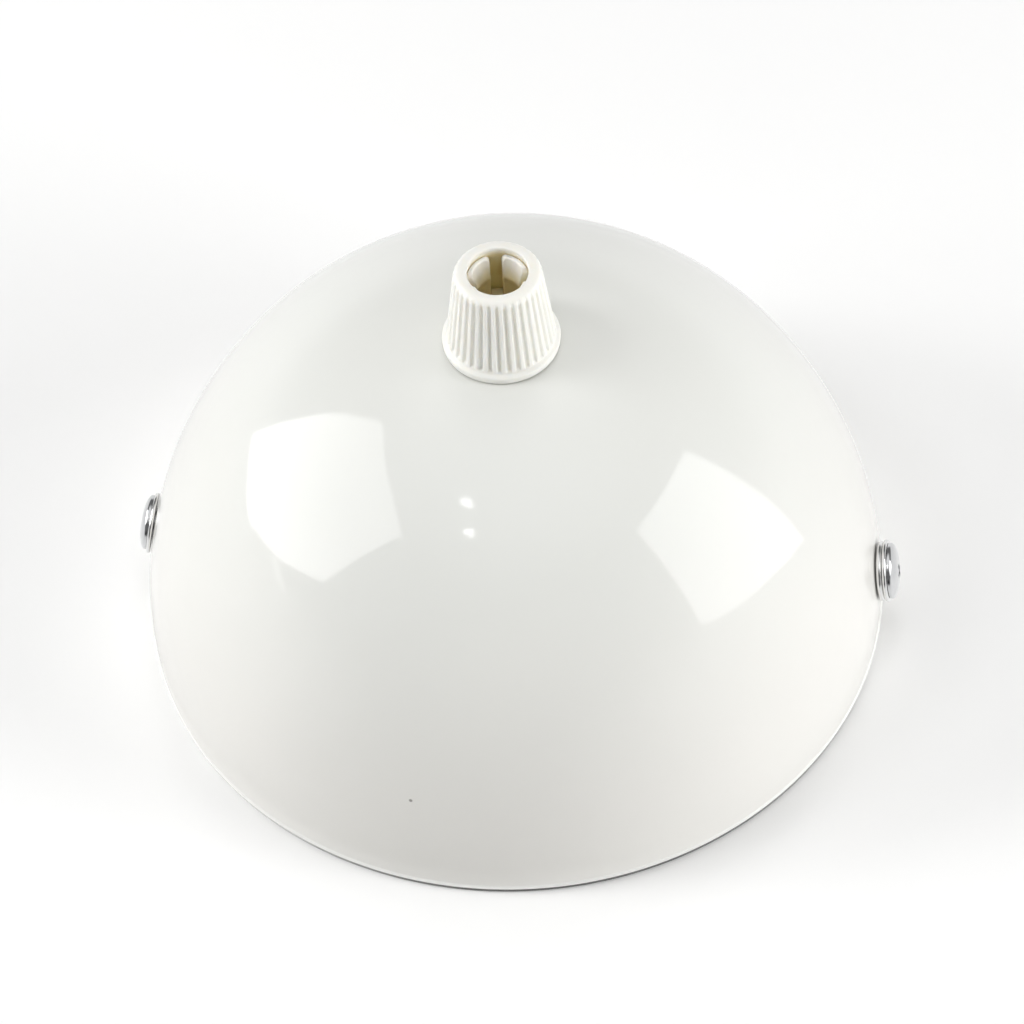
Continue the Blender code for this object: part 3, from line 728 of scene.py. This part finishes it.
# The heights of a finger's cross sections, each with the amount by which its rounded tip is drawn in.
levels = [(z, 0.0) for z in np.linspace(SLOT_FLOOR - 0.4 * MM, FINGER_TOP - FINGER_TIP, 22)]
for t in np.linspace(0.2, math.pi / 2.0, 6):
    levels.append((FINGER_TOP - FINGER_TIP * (1.0 - math.sin(t)), FINGER_TIP * (1.0 - math.cos(t))))
points = []
faces = []
for i in range(4):
    middle = SLOT_TURN + math.pi / 4.0 + i * math.pi / 2.0
    rows = []
    for height, inset in levels:
        back = min(STEM_RADIUS - FINGER_BACK_INSET, inner_cone(height) - FINGER_BACK_GAP)
        lead_in = min(1.0, (FINGER_TOP - height) / THROAT_DEPTH)
        face = FINGER_TIP_BORE + lead_in * (FINGER_THROAT - FINGER_TIP_BORE)
        face += (STEM_BORE - FINGER_THROAT) * float(smooth((FINGER_RELIEF - height) / FINGER_RELIEF_FADE))
        up = max(0.0, height - FINGER_TOP + TIP_CORNER)
        half_slot = SLOT_WIDTH / 2.0 + TIP_CORNER - math.sqrt(TIP_CORNER**2 - min(up, 0.95 * TIP_CORNER) ** 2)
        ease = min(FINGER_EDGE, 0.3 * (back - face)) - 0.4 * inset
        section = finger_section(face + inset, back - inset, half_slot, ease, middle)
        rows.append(range(len(points), len(points) + len(section)))
        points += [(x, y, height) for x, y in section]
    for low, high in zip(rows, rows[1:]):
        for j in range(len(low)):
            k = (j + 1) % len(low)
            faces.append((low[j], low[k], high[k], high[j]))
    faces.append(tuple(rows[-1]))
    faces.append(tuple(reversed(rows[0])))
fingers = new_piece("fingers", points, faces, 60.0)
joined = bmesh.new()
joined.from_mesh(stem.data)
joined.from_mesh(fingers.data)
joined.to_mesh(stem.data)
joined.free()
bpy.data.objects.remove(fingers)

# Painted light: a brighter copy of the cap's ivory, for light glowing through the plastic onto the fingers.
brightened_stem_ivory, tree, shader = new_finish(
    "brightened_ivory_polyamide_stem",
    IOR=1.53,
    Subsurface_Weight=0.5,
    Subsurface_Scale=0.0012,
    Subsurface_Radius=(1.0, 0.88, 0.68),
)
tint = cloud(tree, 190.0, 0.0, 1.0)
skin = mixed(tree, tint, (0.975, 0.940, 0.850), (0.980, 0.950, 0.880))
# Painted bounce light and shade: lower in the mouth the stem is painted warm ochre.
painted_mouth_bounce_light = below(tree, CAP_TOP - 4.5 * MM, CAP_TOP - 2.2 * MM)
tree.links.new(mixed(tree, painted_mouth_bounce_light, skin, (0.97, 0.84, 0.54)), shader.inputs["Base Color"])
tree.links.new(cloud(tree, 700.0, 0.30, 0.42), shader.inputs["Roughness"])
relief(tree, shader, cloud(tree, 2600.0, 0.0, 1.0), 0.000008)
dress(stem, brightened_stem_ivory, "canopy", "ivory_plastic", "grip_stem")


# Washer and locknut under the crown. Both are steel, zinc plated: the washer is stamped, with a rolled edge; the
# hexagon nut is chamfered on both faces and clamps the stem from inside.
def ring(name, outer, inner, bottom, thickness, ease, facets=128, place=Matrix()):
    """A stamped washer with rolled edges."""
    top = bottom + thickness
    small = 0.4 * ease
    outline = []
    for radius, height, bend, start in (
        (inner + small, bottom + small, small, 2.0),
        (outer - ease, bottom + ease, ease, 3.0),
        (outer - ease, top - ease, ease, 0.0),
        (inner + small, top - small, small, 1.0),
    ):
        for t in np.linspace(0.5 * math.pi * start, 0.5 * math.pi * (start + 1.0), 7):
            outline.append((radius + bend * math.cos(t), height + bend * math.sin(t)))
    made = turned(name, outline, facets)
    made.data.transform(place)
    return made


WASHER_RADIUS = 7.6 * MM
WASHER_EDGE = 0.25 * MM
WASHER_FOOT = CROWN_UNDERSIDE - PLAY - WASHER_THICKNESS
NUT_TOP = WASHER_FOOT - PLAY
NUT_FLATS = 7.0 * MM
NUT_BORE = 5.15 * MM
NUT_LEAD_IN = 0.3 * MM
stem_washer = ring("stem_washer_plate", WASHER_RADIUS, NUT_BORE, WASHER_FOOT, WASHER_THICKNESS, WASHER_EDGE)

nut_corner = NUT_FLATS / math.cos(math.pi / 6.0)
nut_low = NUT_TOP - NUT_HEIGHT


def hexagonal(angles, radius, height):
    """Flattens the turned blank to six flats, under the chamfer cones on both faces."""
    if radius < NUT_BORE + NUT_LEAD_IN:
        return np.full(len(angles), radius)
    flat = NUT_FLATS / np.cos((angles + math.pi / 6.0) % (math.pi / 3.0) - math.pi / 6.0)
    end = min(height - nut_low, NUT_TOP - height)
    return np.minimum(np.minimum(flat, NUT_FLATS - 0.1 * MM + end / math.tan(math.radians(30.0))), radius)


outline = [(NUT_BORE, z) for z in np.linspace(NUT_TOP, nut_low, 31)]
outline[0] = (NUT_BORE + NUT_LEAD_IN, NUT_TOP)
outline[-1] = (NUT_BORE + NUT_LEAD_IN, nut_low)
nut_face = np.linspace(5.8 * MM, 6.9 * MM, 4)
outline += [(r, nut_low) for r in nut_face]
outline += [(nut_corner, z) for z in np.linspace(nut_low, NUT_TOP, 21)]
outline += [(r, NUT_TOP) for r in nut_face[::-1]]
locknut = turned("stem_locknut_hexagon", outline, 144, hexagonal, 25.0)

zinc, tree, shader = new_finish("bright_zinc_plate", Metallic=1.0)
spangle = cloud(tree, 120.0, 0.0, 1.0, 4.0)
tree.links.new(mixed(tree, spangle, (0.58, 0.60, 0.63), (0.70, 0.70, 0.68)), shader.inputs["Base Color"])
tree.links.new(cloud(tree, 1400.0, 0.26, 0.42), shader.inputs["Roughness"])
relief(tree, shader, cloud(tree, 1800.0, 0.0, 1.0, 4.0), 0.00001)
dress(stem_washer, zinc, "canopy", "zinc_plate", "stem_washer")
dress(locknut, zinc, "canopy", "zinc_plate", "stem_locknut")


# Side screws and their washers. M4 lamp screws with low domed heads and a cross recess, cold headed, thread rolled
# and chromed; each stands on a nickelled washer, the right one on a spacer ring as well. They hold the dome to the
# bracket's ears.
HEAD_RADIUS = 3.75 * MM
HEAD_EDGE = 0.3 * MM
HEAD_HEIGHT = 1.3 * MM
SHANK_RADIUS = 1.9 * MM
SHANK_LENGTH = 8.0 * MM
SCREW_PITCH = 0.7 * MM
SCREW_HOLE = 2.15 * MM
SHANK_THREAD = 0.38 * MM
RECESS_DEPTH = 0.9 * MM
RECESS_FOOT = (1.0 * MM, 0.4 * MM)
RECESS_OVER = 0.6 * MM
RECESS_MOUTH = (3.1 * MM, 0.75 * MM)
SIDE_WASHER = (4.2 * MM, 0.55 * MM, 0.26 * MM)
SPACER = (4.05 * MM, 0.8 * MM, 0.39 * MM)
FIT = 0.03 * MM


def domed_screw(name, head_radius, head_edge, head_height, shank_length, under, place):
    """A domed screw with a cross recess and a real thread."""
    dome = head_height - head_edge
    tip = under - shank_length
    outline = [
        (head_radius * math.sin(t), under + head_edge + dome * math.cos(t)) for t in np.linspace(0.0, math.pi / 2.0, 28)
    ]
    outline[0] = (0.0, under + head_height)
    rim_low = (head_radius, under)
    neck = (SHANK_RADIUS, under)
    outline += corner(outline[-1], rim_low, neck, 0.08 * MM, 3)
    outline += [(SHANK_RADIUS + 0.12 * MM, under), (SHANK_RADIUS, under - 0.12 * MM)]
    outline += climb(SHANK_RADIUS, tip + 0.45 * MM, under - 0.3 * MM, SCREW_PITCH / 10.0)[::-1]
    outline += [(SHANK_RADIUS - 0.5 * MM, tip), (0.0, tip)]
    screw = turned(name, outline, 96, thread(SCREW_PITCH, SHANK_THREAD, tip + 0.3 * MM, under - 0.9 * MM))
    top = under + head_height
    points = []
    for height, span, width in ((top - RECESS_DEPTH, *RECESS_FOOT), (top + RECESS_OVER, *RECESS_MOUTH)):
        for turn in range(4):
            spin = Matrix.Rotation(turn * math.pi / 2.0, 2)
            for x, y in ((span / 2.0, -width / 2.0), (span / 2.0, width / 2.0), (width / 2.0, width / 2.0)):
                points.append((*(spin @ Vector((x, y))), height))
    faces = [tuple(reversed(range(12))), tuple(range(12, 24))]
    faces += [(i, (i + 1) % 12, 12 + (i + 1) % 12, 12 + i) for i in range(12)]
    cut(screw, new_piece(f"{name}_driver", points, faces, 30.0))
    screw.data.transform(place)
    return screw


chrome, tree, shader = new_finish("polished_chrome", Metallic=1.0)
haze = cloud(tree, 500.0, 0.0, 1.0)
tree.links.new(mixed(tree, haze, (0.66, 0.665, 0.675), (0.72, 0.725, 0.73)), shader.inputs["Base Color"])
tree.links.new(cloud(tree, 900.0, 0.05, 0.12), shader.inputs["Roughness"])
relief(tree, shader, cloud(tree, 1500.0, 0.0, 1.0), 0.000002)
nickel, tree, shader = new_finish("nickel_on_steel", Metallic=1.0)
haze = cloud(tree, 420.0, 0.0, 1.0)
tree.links.new(mixed(tree, haze, (0.80, 0.80, 0.80), (0.87, 0.87, 0.86)), shader.inputs["Base Color"])
tree.links.new(cloud(tree, 1100.0, 0.08, 0.16), shader.inputs["Roughness"])
relief(tree, shader, cloud(tree, 2000.0, 0.0, 1.0), 0.000003)

for side, name in ((-1, "left"), (1, "right")):
    wall = side_frame(side)
    level = FIT
    if name == "right":
        outer, thickness, edge = SPACER
        made = ring("right_spacer_ring", outer, SCREW_HOLE, level, thickness, edge, place=wall)
        dress(made, nickel, "canopy", "nickel_plate", "right_spacer_washer")
        level += thickness + FIT
    outer, thickness, edge = SIDE_WASHER
    made = ring(f"{name}_washer_ring", outer, SCREW_HOLE, level, thickness, edge, place=wall)
    dress(made, nickel, f"{name}_travel", "nickel_plate", f"{name}_washer")
    level += thickness + FIT
    made = domed_screw(f"{name}_domed_screw", HEAD_RADIUS, HEAD_EDGE, HEAD_HEIGHT, SHANK_LENGTH, level, wall)
    dress(made, chrome, f"{name}_turn", "chrome_plate", f"{name}_screw")


# The strap bracket. A 1.5 mm steel strip, folded up at both ends into ears, with extruded and tapped collars for the
# side screws and the earth screw, two ceiling slots and a cable hole; zinc plated.
STRIP = 1.5 * MM
BRACKET_LIFT = 0.3 * MM
EAR_GAP = 1.0 * MM
BEND = 2.5 * MM + STRIP / 2.0
COLLAR = 3.3 * MM
COLLAR_HEIGHT = 1.4 * MM
EARTH_FROM_BEND = 9.63 * MM
STRAP_HALF = 10.0 * MM
EAR_HALF = 6.0 * MM
EAR_ROUND = 3.0 * MM
WAIST_START = 9.0 * MM
WAIST = 7.0 * MM
CABLE_HOLE = 5.5 * MM
SLOT_HALF = 2.5 * MM
SLOT_START = 13.0 * MM
SLOT_END = 15.0 * MM
BROKEN_EDGE = 0.12 * MM

wall = side_frame(1)
out = Vector((wall.col[2].x, wall.col[2].z))
up = Vector((-out.y, out.x))
ear = Vector((wall.translation.x, wall.translation.z)) - out * (SHEET + EAR_GAP + STRIP / 2.0)
floor = BRACKET_LIFT + STRIP / 2.0
turn = math.atan2(up.y, up.x)
bend_x = ear.x + up.x * (floor - ear.y) / up.y - BEND * math.tan(turn / 2.0)
waist = bend_x - WAIST_START
path = [(x, floor, STRAP_HALF) for x in np.linspace(0.0, waist, 5)]
for share in np.linspace(0.1, 1.0, 10):
    path.append((waist + WAIST * share, floor, STRAP_HALF - (STRAP_HALF - EAR_HALF) * float(smooth(share))))
path += [
    (bend_x + BEND * math.sin(t), floor + BEND * (1.0 - math.cos(t)), EAR_HALF) for t in np.linspace(0.0, turn, 13)
]
for t in np.linspace(0.0, math.pi / 2.0, 13):
    point = ear + up * (2.0 * MM + EAR_ROUND * math.sin(t))
    path.append((point.x, point.y, EAR_HALF - EAR_ROUND + EAR_ROUND * math.cos(t)))
path = [(-x, z, half) for x, z, half in reversed(path[1:])] + path
points = [(x, y, z) for x, z, half in path for y in (-half, half)]
faces = [(2 * i, 2 * i + 2, 2 * i + 3, 2 * i + 1) for i in range(len(path) - 1)]
strap = new_piece("folded_strap_bracket", points, faces)
fold = strap.modifiers.new("strip", "SOLIDIFY")
fold.thickness = STRIP
fold.offset = 0.0
fold.use_even_offset = True
settle(strap)

inner_face = -SHEET - EAR_GAP - STRIP
strip_top = BRACKET_LIFT + STRIP
earth_place = Matrix.Translation((EARTH_FROM_BEND - bend_x, 0.0, 0.0))
collars = [
    bar(f"collar_{side}", COLLAR, inner_face - COLLAR_HEIGHT, inner_face + STRIP / 2.0, side_frame(side))
    for side in (-1, 1)
]
collars.append(bar("collar_earth", COLLAR, strip_top - STRIP / 2.0, strip_top + COLLAR_HEIGHT, earth_place))
for part in collars:
    weld = strap.modifiers.new(part.name, "BOOLEAN")
    weld.operation = "UNION"
    weld.object = part
    weld.solver = "EXACT"
bpy.context.view_layer.update()
settle(strap)
for part in collars:
    bpy.data.objects.remove(part)

holes = [bar(f"tap_{side}", SCREW_HOLE, inner_face - 3.0 * MM, 0.0, side_frame(side)) for side in (-1, 1)]
holes.append(bar("tap_earth", SCREW_HOLE, -1.0 * MM, strip_top + 3.0 * MM, earth_place))
holes.append(bar("cable_hole", CABLE_HOLE, -1.0 * MM, strip_top + 1.0 * MM))
far_end = bend_x - SLOT_END
half_turn = np.linspace(0.0, math.pi, 25)
for side in (-1, 1):
    plan = [(far_end - SLOT_HALF + SLOT_HALF * math.sin(t), -SLOT_HALF * math.cos(t)) for t in half_turn]
    plan += [(SLOT_START + SLOT_HALF - SLOT_HALF * math.sin(t), SLOT_HALF * math.cos(t)) for t in half_turn]
    count = len(plan)
    points = [(side * x, side * y, z) for z in (-1.0 * MM, 3.0 * MM) for x, y in plan]
    faces = [tuple(range(count))[::-1], tuple(range(count, 2 * count))]
    faces += [(i, (i + 1) % count, count + (i + 1) % count, count + i) for i in range(count)]
    holes.append(new_piece(f"ceiling_slot_{side}", points, faces))
bpy.context.view_layer.update()
cut(strap, *holes)
trim = strap.modifiers.new("broken_edges", "BEVEL")
trim.width = BROKEN_EDGE
trim.segments = 2
trim.limit_method = "ANGLE"
trim.angle_limit = math.radians(40.0)
settle(strap, 60.0)

brushed, tree, shader = new_finish("zinc_plated_strip", Metallic=1.0)
grain = cloud(tree, 260.0, 0.0, 1.0, 4.0, (0.12, 3.0, 3.0))
patch = cloud(tree, 70.0, 0.0, 1.0, 3.0)
dull = mixed(tree, patch, (0.56, 0.58, 0.61), (0.66, 0.66, 0.64))
tree.links.new(mixed(tree, grain, dull, (0.72, 0.72, 0.71)), shader.inputs["Base Color"])
tree.links.new(cloud(tree, 260.0, 0.28, 0.46, 4.0, (0.12, 3.0, 3.0)), shader.inputs["Roughness"])
relief(tree, shader, grain, 0.000012)
dress(strap, brushed, "canopy", "zinc_plate", "mounting_bracket")


# The earth terminal. A brass cheese head screw and a brass washer on the bracket's raised collar; the earth wire goes
# under the washer.
EARTH_WASHER = 4.4 * MM
EARTH_WASHER_THICKNESS = 0.8 * MM
EARTH_WASHER_EDGE = 0.2 * MM
EARTH_HEAD = 3.6 * MM
EARTH_HEAD_EDGE = 1.1 * MM
EARTH_HEAD_HEIGHT = 2.0 * MM
EARTH_SHANK = 3.9 * MM
COLLAR_TOP = strip_top + COLLAR_HEIGHT

earth_axis = Matrix.Translation((EARTH_FROM_BEND - bend_x, 0.0, COLLAR_TOP))
earth_ring = ring(
    "earth_brass_washer", EARTH_WASHER, SCREW_HOLE, FIT, EARTH_WASHER_THICKNESS, EARTH_WASHER_EDGE, 96, earth_axis
)
under_head = EARTH_WASHER_THICKNESS + 2.0 * FIT
earth_bolt = domed_screw(
    "earth_brass_screw", EARTH_HEAD, EARTH_HEAD_EDGE, EARTH_HEAD_HEIGHT, EARTH_SHANK, under_head, earth_axis
)

brass, tree, shader = new_finish("bright_brass", Metallic=1.0)
tarnish = cloud(tree, 300.0, 0.0, 1.0, 4.0)
tree.links.new(mixed(tree, tarnish, (0.66, 0.49, 0.20), (0.80, 0.63, 0.31)), shader.inputs["Base Color"])
tree.links.new(cloud(tree, 1000.0, 0.16, 0.32), shader.inputs["Roughness"])
relief(tree, shader, cloud(tree, 2200.0, 0.0, 1.0), 0.000006)
dress(earth_ring, brass, "earth_travel", "yellow_brass", "earth_washer")
dress(earth_bolt, brass, "earth_turn", "yellow_brass", "earth_screw")
